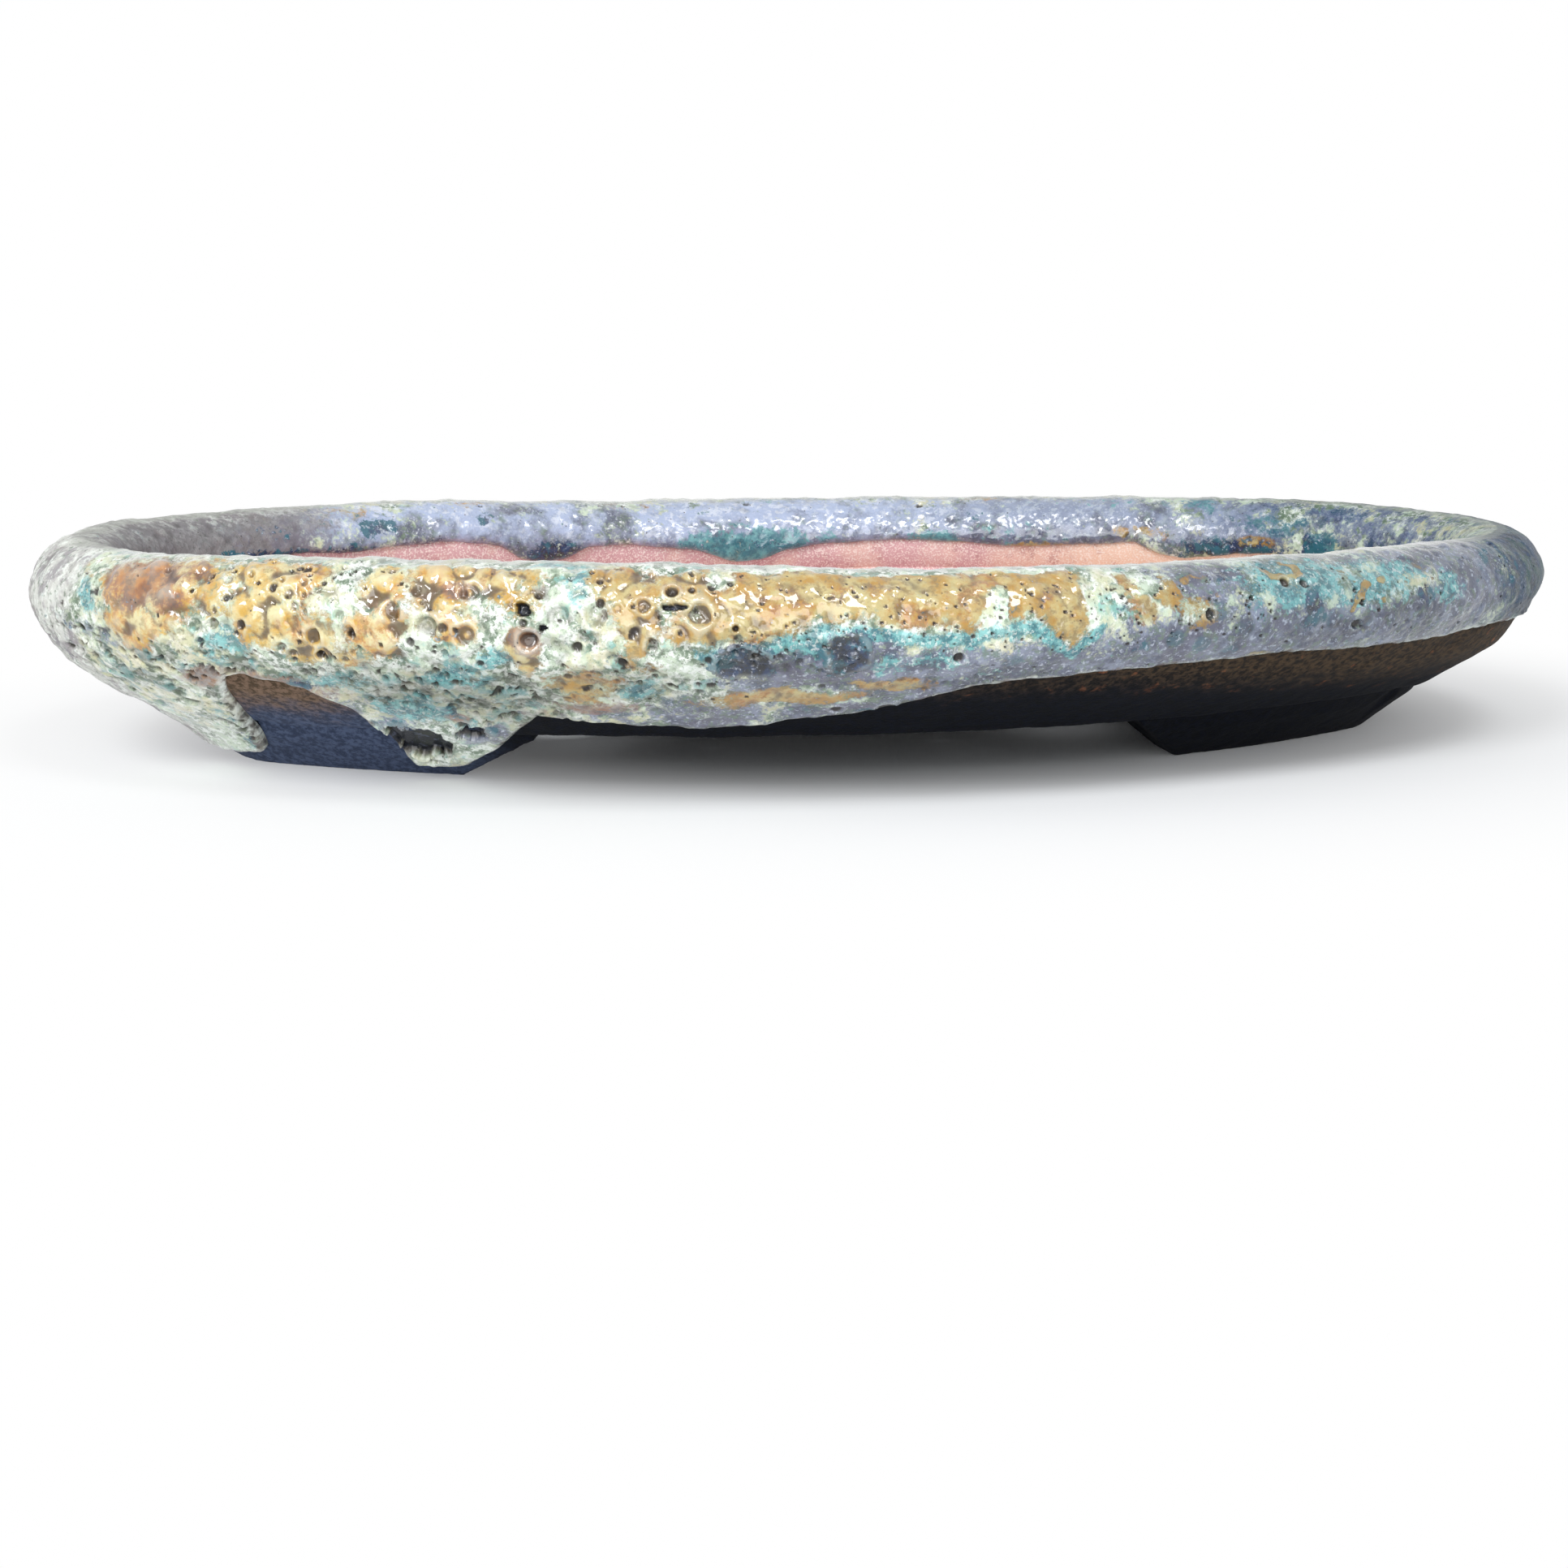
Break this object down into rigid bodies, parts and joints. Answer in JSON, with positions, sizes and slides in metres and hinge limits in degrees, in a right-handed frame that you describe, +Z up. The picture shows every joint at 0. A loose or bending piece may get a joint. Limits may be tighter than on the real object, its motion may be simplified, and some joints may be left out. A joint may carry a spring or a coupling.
{
  "type": "bonsai pot",
  "caption": "Shallow hand-built oval bonsai tray with a thick rolled rim, bellied wall, corner feet, pierced floor and a heavy cratered glaze that runs down the outside.",
  "frame": {"origin": "centre of the footprint, on the surface that the feet stand on", "axes": "+X along the tray's length to the right as seen from the front, +Y to the back, +Z up out of the mouth"},
  "size_m": [0.3832, 0.2072, 0.0523],
  "materials": {
    "bare_clay": "coarse unglazed stoneware, matt",
    "foot_clay": "dark unglazed stoneware, rough and matt",
    "outer_glaze": "thick glossy crater glaze, ochre over celadon and lavender",
    "inner_glaze": "thick glossy glaze, lavender and teal"
  },
  "bodies": {
    "root": {"floor_slab": "bare_clay", "wall_ring": "bare_clay", "rim_coil": "bare_clay", "foot_front_left": "foot_clay", "foot_front_right": "foot_clay", "foot_back_left": "foot_clay", "foot_back_right": "foot_clay", "glaze_outer": "outer_glaze", "glaze_inner": "inner_glaze"}
  },
  "joints": []
}
